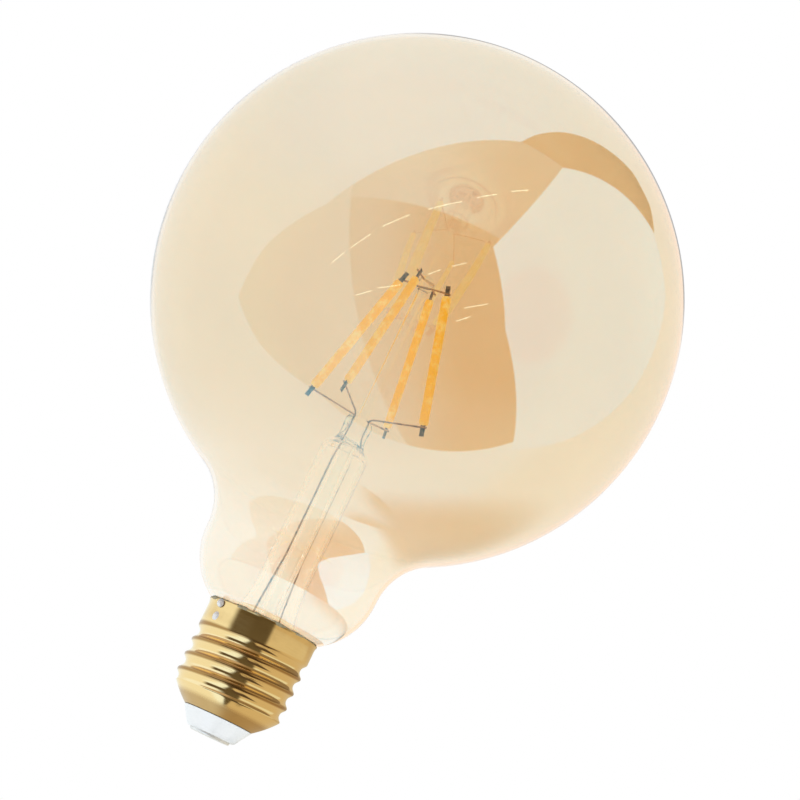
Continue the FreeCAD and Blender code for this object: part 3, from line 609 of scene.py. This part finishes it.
def moulded_white():
    """Cool white moulding with faint flow marks, darker along them and more so near the contact."""
    made, graph = new_material("moulded white")
    flow = graph.noise(graph.place(scale=(1, 1, 0.4)), 260.0, 4.0)
    specks = graph.noise(graph.place(), 2600.0, 2.0)
    # The moulding turns darker along the flow marks, and more of it turns darker near the contact.
    low = graph.step(graph.around()[2], *DARKER_NEAR_CONTACT, 1.0, 0.0)
    darker_marks = graph.step(flow + low * 0.18, 0.52, 0.85)
    colour = graph.mix(darker_marks, (0.92, 0.955, 0.97), (0.80, 0.84, 0.86))
    graph.surface({
        "Base Color": colour, "Roughness": 0.24 + flow * 0.16,
        "Normal": graph.bump(specks + flow, 0.00003, 0.25)})
    return made


def bright_metal(name, colour, worn, scale, smoothness, metallic=1.0):
    """A plain metal with worn patches and fine scratches."""
    made, graph = new_material(name)
    patches = graph.noise(graph.place(), scale, 4.0, 0.6)
    scratches = graph.noise(graph.place(scale=(1, 6, 1), turn=(0, 0, 0.6)), scale * 6, 3.0)
    wear = graph.step(patches, 0.4, 0.7)
    graph.surface({
        "Base Color": graph.mix(wear, colour, worn), "Metallic": metallic,
        "Roughness": smoothness + wear * 0.18 + scratches * 0.1,
        "Normal": graph.bump(scratches + patches, 0.00002, 0.4)})
    return made


def crumbly_cement(name, glow):
    """Baked capping cement, grainy and matt, with a painted glow in its own colour where glass covers it."""
    made, graph = new_material(name)
    grain = graph.noise(graph.place(), 1500.0, 5.0, 0.7)
    patches = graph.noise(graph.place(), 380.0, 3.0)
    stops = [(0.3, (0.17, 0.13, 0.06)), (0.5, (0.36, 0.32, 0.20)), (0.75, (0.60, 0.57, 0.46))]
    colour = graph.add("ShaderNodeValToRGB", {"stops": stops}, {0: grain * 0.5 + patches * 0.5})
    # The emission is a painted glow in the cement's own colour.
    graph.surface({
        "Base Color": colour, "Roughness": 0.75 + grain * 0.2, "Normal": graph.bump(grain, 0.00015, 0.8),
        "Emission Color": colour, "Emission Strength": glow})
    return made


def phosphor(filaments):
    """Silicone loaded with phosphor: warm, mottled, paler where it is thin, with a painted glow that
    brightens it.
    """
    made, graph = new_material("phosphor coat")
    mottle = graph.noise(graph.place(), 420.0, 4.0, 0.6)
    grain = graph.noise(graph.place(), 5200.0, 2.0)
    thin = graph.step(mottle, 0.42, 0.68)
    colour = graph.mix(thin, filaments.coat, filaments.thin_coat)
    # This colour feeds a painted glow that brightens the coat; the filaments give no light here.
    glow = graph.mix(thin, (1.0, 0.66, 0.03), (1.0, 0.84, 0.28))
    graph.surface({
        "Base Color": colour, "Roughness": 0.42 + grain * 0.2,
        "Normal": graph.bump(grain + mottle, 0.00004, 0.4),
        "Emission Color": glow, "Emission Strength": 0.78})
    return made


def board_white():
    """White lacquered board with a faint weave and a painted glow that brightens it under the glass."""
    made, graph = new_material("board white")
    slant = graph.place(turn=(0, 0, 0.8))
    weave = graph.add("ShaderNodeTexWave", {}, {"Vector": slant, "Scale": 420.0, "Distortion": 1.0})
    patches = graph.noise(graph.place(), 300.0, 3.0)
    colour = graph.mix(weave * 0.3 + patches * 0.5, (0.78, 0.80, 0.76), (0.90, 0.91, 0.87))
    # The emission is a painted glow in the board's own colour.
    graph.surface({
        "Base Color": colour, "Roughness": 0.3 + patches * 0.2, "Normal": graph.bump(weave, 0.00002, 0.3),
        "Emission Color": colour, "Emission Strength": 0.35})
    return made


def moulded_dark(name, colour, paler):
    """A dark moulded body with fine moulding grain."""
    made, graph = new_material(name)
    grain = graph.noise(graph.place(), 2400.0, 3.0)
    cloud = graph.noise(graph.place(), 340.0, 2.0)
    graph.surface({
        "Base Color": graph.mix(cloud, colour, paler), "Roughness": 0.45 + grain * 0.25,
        "Normal": graph.bump(grain, 0.00003, 0.5)})
    return made


# Studio: directions are in camera axes, which are right, up and back

ROOM_EDGES = (
    ((0.414, -0.606, 0.680), -0.204, -0.188),
    ((0.275, 0.265, 0.924), 0.142, 0.158),
    ((-0.154, 0.107, 0.967), -0.008, 0.008),
    ((0.623, -0.069, 0.704), -0.008, 0.008),
)
BAY = (
    (-0.583, 0.576, 0.573), (-0.881, 0.316, 0.351), (-0.984, 0.021, 0.177), (-0.919, -0.251, 0.305),
    (-0.641, -0.573, 0.511), (0.0, 0.2, 0.98),
)
CORNER = (
    (0.420, 0.830, 0.360), (0.543, 0.831, 0.121), (0.734, 0.678, 0.042), (0.719, 0.620, 0.314),
    (0.501, 0.688, 0.526),
)
FLAG = (
    (0.543, 0.831, 0.121), (0.578, 0.816, -0.027), (0.611, 0.773, -0.172), (0.633, 0.714, -0.298),
    (0.651, 0.567, -0.504), (0.640, 0.415, -0.647), (0.683, 0.311, -0.660), (0.768, 0.252, -0.588),
    (0.734, 0.678, 0.042),
)
PANEL = (
    (0.734, 0.678, 0.042), (0.500, 0.328, 0.802), (0.582, -0.224, 0.782), (0.527, -0.831, 0.176),
    (0.841, -0.267, -0.471), (0.773, 0.040, -0.634), (0.768, 0.252, -0.588),
)
SHADE = ((0.35, 0.04, -0.93), (0.27, 0.25, -0.93), (0.02, 0.37, -0.93), (-0.03, -0.03, -1.0))
LAMP_STRIPS = (
    ((-0.570, 0.230, 0.789), (-0.500, 0.290, 0.816)),
    ((-0.449, 0.330, 0.830), (-0.324, 0.417, 0.849)),
    ((-0.244, 0.469, 0.849), (-0.058, 0.546, 0.836)),
    ((0.068, 0.580, 0.812), (0.285, 0.620, 0.731)),
    ((0.384, 0.637, 0.668), (0.489, 0.644, 0.589)),
    ((0.572, 0.648, 0.503), (0.648, 0.639, 0.414)),
    ((-0.427, 0.005, 0.904), (-0.328, 0.031, 0.944)),
    ((-0.280, 0.051, 0.959), (-0.128, 0.071, 0.989)),
    ((0.075, 0.148, 0.986), (0.151, 0.176, 0.973)),
    ((0.240, 0.203, 0.949), (0.328, 0.223, 0.918)),
    ((0.324, -0.087, 0.942), (0.476, -0.056, 0.878)),
    ((0.270, -0.178, 0.946), (0.358, -0.148, 0.922)),
)
# Each patch: its lift and its turn about the lamp in degrees (from, to, softness), then its colour
METAL_PATCHES = (
    ((7, 33, 6), (24, 125, 5), (0.82, 0.90, 0.84)),
    ((10, 46, 4), (-125, -22, 14), (1.0, 1.2, 1.45)),
    ((-88, -30, 8), (-70, -16, 9), (1.0, 1.25, 1.55)),
    ((-70, -26, 6), (8, 66, 8), (0.10, 0.075, 0.05)),
)
WHITE, BLACK = (1.0, 1.0, 1.0), (0.0, 0.0, 0.0)


def camera_axes(studio):
    """The camera's right, up and back in the lamp's frame."""
    sin_roll, cos_roll = math.sin(studio.roll), math.cos(studio.roll)
    sin_tilt, cos_tilt = math.sin(studio.tilt), math.cos(studio.tilt)
    lamp_x = Vector((cos_roll, -sin_roll, 0))
    lamp_z = Vector((sin_roll * cos_tilt, cos_roll * cos_tilt, -sin_tilt))
    lamp_y = lamp_z.cross(lamp_x)
    return [Vector((lamp_x[i], lamp_y[i], lamp_z[i])) for i in range(3)]


def make_camera(scene, studio, axes):
    """A camera that sees the globe's middle at its place in the picture."""
    right, up, back = axes
    view = bpy.data.cameras.new("studio_camera")
    view.lens = studio.lens
    view.sensor_width = 36.0
    view.clip_start, view.clip_end = 0.01, 50.0
    camera = bpy.data.objects.new("studio_camera", view)
    scene.collection.objects.link(camera)
    span = view.sensor_width / view.lens * studio.distance
    middle = Vector((0, 0, GLASS_HIGH.z - (GLASS_HIGH.x - GLASS_LOW.x) / 2))
    spot = middle - right * (studio.across - 0.5) * span + up * (studio.down - 0.5) * span
    spot += back * studio.distance
    camera.matrix_world = Matrix.Translation(spot) @ Matrix((right, up, back)).transposed().to_4x4()
    scene.camera = camera


def make_floor(studio):
    """A wide pale floor below the lamp."""
    made = bmesh.new()
    bmesh.ops.create_circle(made, cap_ends=True, segments=STAGE_AROUND, radius=FLOOR_RADIUS)
    for vertex in made.verts:
        vertex.co.z = -studio.floor_drop
    mesh = bpy.data.meshes.new("pale_floor")
    made.to_mesh(mesh)
    made.free()
    finish, graph = new_material("pale floor")
    cloud = graph.noise(graph.place(), 6.0, 2.0)
    graph.surface({"Base Color": graph.mix(cloud, (0.94, 0.94, 0.94), (0.97, 0.97, 0.97)), "Roughness": 0.9})
    mesh.materials.append(finish)
    floor = link_piece("pale_floor", mesh)
    floor.visible_glossy = False
    floor.visible_transmission = False


def make_card():
    """A white card with a hole round the neck, seen only in reflections: white in glass, dim in metal."""
    height = SHELL_HIGH.z + CARD_LIFT
    mesh = turned_mesh("white_card", [(CARD_HOLE, height), (CARD_RADIUS, height)], STAGE_AROUND)
    finish, graph = new_material("white card")
    cloud = graph.noise(graph.place(), 40.0, 2.0)
    white = graph.mix(cloud, (0.96, 0.96, 0.94), (1.0, 1.0, 0.98))
    radius = graph.around()[0]
    across = graph.add("ShaderNodeSeparateXYZ", {}, {0: graph.place()})
    fading = graph.step(radius, 0.018, 0.0295) * graph.step(across, 0.008, 0.020)
    white = graph.mix(fading, white, (0.35, 0.36, 0.36))
    dim = graph.mix(graph.step(across, -0.006, 0.004), (0.55, 0.46, 0.38), (0.28, 0.22, 0.14))
    sharp = graph.add("ShaderNodeLightPath").out("Is Singular Ray")
    graph.surface({
        "Base Color": (*BLACK, 1.0), "Roughness": 1.0, "Specular IOR Level": 0.0,
        "Emission Color": graph.mix(sharp, dim, white), "Emission Strength": 1.0})
    mesh.materials.append(finish)
    card = link_piece("white_card", mesh)
    card.visible_camera = False
    card.visible_diffuse = False
    card.visible_shadow = False


class Tent:
    """Masks for the world's light by the direction that it comes from."""

    def __init__(self, graph, axes):
        self.graph = graph
        self.axes = axes
        self.aim = graph.add("ShaderNodeTexCoord", output="Generated")

    def along(self, direction):
        """How far the light's direction points along one given in camera axes."""
        right, up, back = self.axes
        turned = (right * direction[0] + up * direction[1] + back * direction[2]).normalized()
        inputs = {0: self.aim, 1: turned}
        return self.graph.add("ShaderNodeVectorMath", {"operation": "DOT_PRODUCT"}, inputs, "Value")

    def window(self, corners, soft):
        """A mask for the directions between corners that are given in order."""
        corners = [Vector(corner).normalized() for corner in corners]
        middle = sum(corners, Vector())
        mask = 1.0
        for first, second in zip(corners, corners[1:] + corners[:1]):
            edge = first.cross(second)
            inward = edge if edge.dot(middle) > 0 else -edge
            mask = self.graph.step(self.along(inward), -soft, soft) * mask
        return mask

    def strip(self, start, end, half_width):
        """A mask for a narrow strip of light between two directions."""
        start, end = Vector(start), Vector(end)
        reach = math.cos(start.angle(end) / 2)
        beside = self.graph.step(abs(self.along(start.cross(end))), half_width, half_width * 0.3)
        return beside * self.graph.step(self.along(start + end), reach - 0.0006, reach)

    def band(self, value, low, high, soft):
        """A mask for the values between two limits."""
        above = self.graph.step(value, low - soft, low + soft)
        return above * self.graph.step(value, high + soft, high - soft)


def room_light(tent):
    """The dim room on the camera's side: a mask for it, and its colour."""
    graph = tent.graph
    mask = 1.0
    for edge, low, high in ROOM_EDGES:
        mask = graph.step(tent.along(edge), low, high) * mask
    for corners, soft in ((BAY, 0.008), (CORNER, 0.006)):
        mask = mask.math("MAXIMUM", tent.window(corners, soft))
    across, rise = tent.along((1, 0, 0)), tent.along((0, 1, 0))
    far_wall = graph.step(across, -0.4, 0.35, 0.5, 0.02) + graph.step(rise, -0.5, -0.85, 0.0, 0.12)
    ceiling = graph.step(across, -0.1, 0.65, 0.63, 0.22)
    inside = far_wall + (ceiling - far_wall) * graph.step(tent.along((0.131, 0.374, -0.282)), -0.01, 0.01)
    inside = inside + (0.75 - inside) * graph.step(tent.along((0.685, 0.117, 0.335)), 0.012, -0.012)
    return mask, graph.mix(inside, BLACK, (1.0, 1.02, 0.97))


def glass_light(tent, depth, deep):
    """What glass mirrors: a room with strips of lamps, a panel and a dark flag, and soft light far inside."""
    graph = tent.graph
    light = graph.mix(graph.step(tent.along((0, 1, 0)), 0.5, 0.95) * deep, WHITE, (0.8, 1.1, 1.5))
    warm = graph.step(tent.along((0.55, -0.45, -0.70)), 0.5, 0.8)
    light = graph.mix(warm * deep, light, (1.1, 0.80, 0.45))
    ground = graph.step(tent.along((-0.05, -0.85, -0.50)), 0.82, 0.98, 0.0, 0.65)
    light = graph.mix(ground, light, BLACK)
    light = graph.mix(tent.window(SHADE, 0.03), light, (0.5, 0.5, 0.52))
    room, inside = room_light(tent)
    light = graph.mix(room, light, inside)
    lamps = 0.0
    for start, end in LAMP_STRIPS:
        lamps = tent.strip(start, end, 0.006) + lamps
    light = graph.mix(lamps * deep, light, (7.0, 4.0, 3.2))
    cloth = graph.mix(deep, (0.97, 0.98, 0.98), (0.75, 1.15, 1.40))
    cloth = graph.mix(graph.step(tent.along((0.75, -0.12, 0.65)), 0.94, 0.965), cloth, (0.90, 0.92, 1.0))
    light = graph.mix(tent.window(PANEL, 0.006), light, cloth)
    light = graph.mix(tent.window(FLAG, 0.006), light, (0.02, 0.018, 0.015))
    soft = graph.step(tent.along((0, 0, 1)), 0.1, 0.65, 1.0, 0.6)
    return graph.mix(graph.step(depth, 2.0, 3.0), light, graph.mix(soft, BLACK, WHITE))


def metal_light(tent):
    """What rolled metal mirrors: bright and dark patches by turn and lift about the lamp, in degrees."""
    graph = tent.graph
    spot = graph.add("ShaderNodeSeparateXYZ", {}, {0: tent.aim})
    turn = spot.math("ARCTAN2", spot.out("Y") * -1.0) * math.degrees(1)
    lift = spot.out("Z").math("ARCSINE") * math.degrees(1)
    light = graph.mix(graph.step(turn, -50, -66), (0.12, 0.10, 0.06), (0.95, 1.05, 1.08))
    light = graph.mix(tent.band(turn, 24, 200, 4), light, (0.66, 0.58, 0.40))
    for heights, sides, colour in METAL_PATCHES:
        light = graph.mix(tent.band(lift, *heights) * tent.band(turn, *sides), light, colour)
    return graph.mix(graph.step(lift, 44, 78) * 0.85, light, (0.10, 0.07, 0.035))


def make_tent(scene, axes):
    """A white tent round the lamp, whose patterns show only in reflections, one in glass and one in metal."""
    world = bpy.data.worlds.new("white_tent")
    world.use_nodes = True
    world.node_tree.nodes.clear()
    scene.world = world
    graph = Graph(world.node_tree)
    tent = Tent(graph, axes)
    path = graph.add("ShaderNodeLightPath")
    depth = path.out("Transmission Depth")
    deep = graph.step(depth, 0.0, 1.0)
    blurred = (1.0 - path.out("Is Singular Ray")) * (1.0 - deep)
    light = graph.mix(blurred, glass_light(tent, depth, deep), metal_light(tent))
    mirrored = path.out("Glossy Depth").math("MINIMUM", 1.0)
    light = graph.mix(mirrored, WHITE, light)
    glow = graph.add("ShaderNodeBackground", {}, {"Color": light, "Strength": 1.0})
    graph.add("ShaderNodeOutputWorld", {}, {"Surface": glow})


# Operators, one for each piece or group of like pieces

class GLOBELAMP_OT_envelope(bpy.types.Operator):
    """Blow the gold glass envelope over the CAD solid"""

    bl_idname = "globelamp.envelope"
    bl_label = "Glass Envelope"

    def execute(self, context):
        glass = context.scene.globelamp_glass
        outside = envelope_outline(glass, 0.0)
        inside = envelope_outline(glass, glass.wall)
        mesh = turned_mesh("gold_glass_envelope", outside + inside[::-1], ENVELOPE_AROUND)
        mesh.materials.append(gold_glass(glass))
        stand_in(link_piece("gold_glass_envelope", mesh), "gold_glass", "glass_globe")
        return {"FINISHED"}


class GLOBELAMP_OT_stem(bpy.types.Operator):
    """Finish the clear stem and the wires that it holds"""

    bl_idname = "globelamp.stem"
    bl_label = "Stem and Wires"

    def execute(self, context):
        dress("glass_stem", clear_glass())
        nickel = bright_metal("lead nickel", (0.86, 0.62, 0.42), (0.56, 0.40, 0.26), 900.0, 0.28)
        for kind in ("lead_wire", "branch_wire", "top_wire"):
            dress(kind + "_a", nickel)
            dress(kind + "_b", nickel)
        dress("filament_tabs", bright_metal("tab steel", (0.42, 0.36, 0.30), (0.17, 0.14, 0.11), 1200.0, 0.3))
        return {"FINISHED"}


class GLOBELAMP_OT_filaments(bpy.types.Operator):
    """Coat the four filaments"""

    bl_idname = "globelamp.filaments"
    bl_label = "Filaments"

    def execute(self, context):
        filaments = context.scene.globelamp_filaments
        finish = phosphor(filaments)
        sizes = {
            "Length": filaments.length, "Width": filaments.width, "Thickness": filaments.thickness,
            "End Radius": STRIP_END, "Chips": filaments.chips, "Swell": filaments.swell,
            "Unevenness": STRIP_WANDER, "Seed": 0.0, "Columns": 40, "Rows": 240}
        tree = filament_tree(sizes)
        for index in range(4):
            node = "led_filament_%d" % (index + 1)
            sizes["Seed"] = SEED_STEP * index
            piece = shaped_mesh("coated_filament_%d" % (index + 1), tree, sizes, finish)
            piece.data.transform(strip_place(node, filaments.length))
            stand_in(piece, "phosphor", node)
        return {"FINISHED"}


class GLOBELAMP_OT_screw_shell(bpy.types.Operator):
    """Roll the brass shell with its thread"""

    bl_idname = "globelamp.screw_shell"
    bl_label = "Screw Shell"

    def execute(self, context):
        cap = context.scene.globelamp_cap
        sizes = {
            "Foot": SHELL_LOW.z, "Top": SHELL_HIGH.z, "Crest Radius": cap.major_radius, "Depth": cap.depth,
            "Pitch": cap.pitch, "Groove Foot": cap.groove_foot, "First Turn": cap.first_turn,
            "Last Turn": cap.last_turn, "Fade": cap.fade_turns, "Mouth Radius": cap.mouth_radius,
            "Fullness": cap.fullness, "Cone Bulge": cap.cone_bulge, "Lip": cap.lip,
            "Lip Height": cap.lip_height, "Columns": 168, "Rows": 170}
        piece = shaped_mesh("rolled_screw_shell", shell_tree(sizes), sizes, rolled_brass(cap))
        wall = piece.modifiers.new("Wall", "SOLIDIFY")
        wall.thickness = cap.wall
        wall.offset = -1.0
        stand_in(piece, "brass", "screw_shell")
        return {"FINISHED"}


class GLOBELAMP_OT_cap_fittings(bpy.types.Operator):
    """Finish the insulator, the contact, the cement and the solder"""

    bl_idname = "globelamp.cap_fittings"
    bl_label = "Cap Fittings"

    def execute(self, context):
        dress("base_insulator", moulded_white())
        nickel = bright_metal("contact nickel", (0.93, 0.92, 0.90), (0.80, 0.79, 0.77), 500.0, 0.35, 0.6)
        dress("centre_contact", nickel)
        # The covered cement gets a painted glow of strength 0.6 that brightens it behind the glass.
        dress("capping_cement", crumbly_cement("covered cement", 0.6))
        sizes = {
            "Ring Radius": BEAD_RADIUS, "Ring Height": SHELL_HIGH.z + BEAD_LIFT, "Thinnest": BEAD_THINNEST,
            "Lumps": BEAD_LUMPS, "Seed": 2.0, "Columns": 240, "Rows": 14}
        bead = shaped_mesh("cement_bead", bead_tree(sizes), sizes, crumbly_cement("crumbly cement", 0.0))
        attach(bead, "root")
        dress("side_solder", bright_metal("solder", (0.90, 0.88, 0.87), (0.74, 0.72, 0.72), 900.0, 0.4, 0.5))
        return {"FINISHED"}


class GLOBELAMP_OT_driver(bpy.types.Operator):
    """Finish the driver board and the parts on it"""

    bl_idname = "globelamp.driver"
    bl_label = "Driver"

    def execute(self, context):
        dress("driver_board", board_white())
        chip = moulded_dark("chip body", (0.012, 0.012, 0.014), (0.03, 0.03, 0.033))
        dress("bridge_rectifier", chip)
        dress("driver_chip", chip)
        can = bright_metal("can aluminium", (0.78, 0.78, 0.79), (0.55, 0.55, 0.57), 600.0, 0.25)
        dress("smoothing_capacitor", can)
        dress("fuse_resistor", moulded_dark("resistor body", (0.20, 0.28, 0.38), (0.30, 0.40, 0.52)))
        tinned = bright_metal("tinned wire", (0.74, 0.73, 0.71), (0.48, 0.47, 0.46), 900.0, 0.22)
        dress("live_wire", tinned)
        dress("neutral_wire", tinned)
        return {"FINISHED"}


class GLOBELAMP_OT_stage(bpy.types.Operator):
    """Set up the floor, the light and the camera"""

    bl_idname = "globelamp.stage"
    bl_label = "Studio"

    def execute(self, context):
        studio = context.scene.globelamp_studio
        axes = camera_axes(studio)
        make_camera(context.scene, studio, axes)
        make_floor(studio)
        make_card()
        make_tent(context.scene, axes)
        context.scene.view_settings.view_transform = "Standard"
        context.scene.cycles.max_bounces = 40
        context.scene.cycles.transmission_bounces = 32
        context.scene.cycles.glossy_bounces = 8
        return {"FINISHED"}


# Panel and registration

class GLOBELAMP_PT_panel(bpy.types.Panel):
    """The steps that finish the lamp"""

    bl_idname = "GLOBELAMP_PT_panel"
    bl_label = "Globe Lamp"
    bl_space_type = "VIEW_3D"
    bl_region_type = "UI"
    bl_category = "Globe Lamp"

    def draw(self, context):
        for step in STEPS:
            self.layout.operator(step.bl_idname)


STEPS = (
    GLOBELAMP_OT_envelope,
    GLOBELAMP_OT_stem,
    GLOBELAMP_OT_filaments,
    GLOBELAMP_OT_screw_shell,
    GLOBELAMP_OT_cap_fittings,
    GLOBELAMP_OT_driver,
    GLOBELAMP_OT_stage,
)
SETTINGS = {
    "globelamp_glass": GlobeLampGlass,
    "globelamp_cap": GlobeLampCap,
    "globelamp_filaments": GlobeLampFilaments,
    "globelamp_studio": GlobeLampStudio,
}


def register():
    """Registers the settings, the operators and the panel."""
    for name, group in SETTINGS.items():
        bpy.utils.register_class(group)
        setattr(bpy.types.Scene, name, PointerProperty(type=group))
    for step in STEPS + (GLOBELAMP_PT_panel,):
        bpy.utils.register_class(step)


def unregister():
    """Takes them all out again."""
    for step in (GLOBELAMP_PT_panel,) + STEPS[::-1]:
        bpy.utils.unregister_class(step)
    for name, group in SETTINGS.items():
        delattr(bpy.types.Scene, name)
        bpy.utils.unregister_class(group)


def main():
    """Runs every step in order."""
    register()
    bpy.ops.globelamp.envelope()
    bpy.ops.globelamp.stem()
    bpy.ops.globelamp.filaments()
    bpy.ops.globelamp.screw_shell()
    bpy.ops.globelamp.cap_fittings()
    bpy.ops.globelamp.driver()
    bpy.ops.globelamp.stage()


if __name__ == "__main__":
    main()
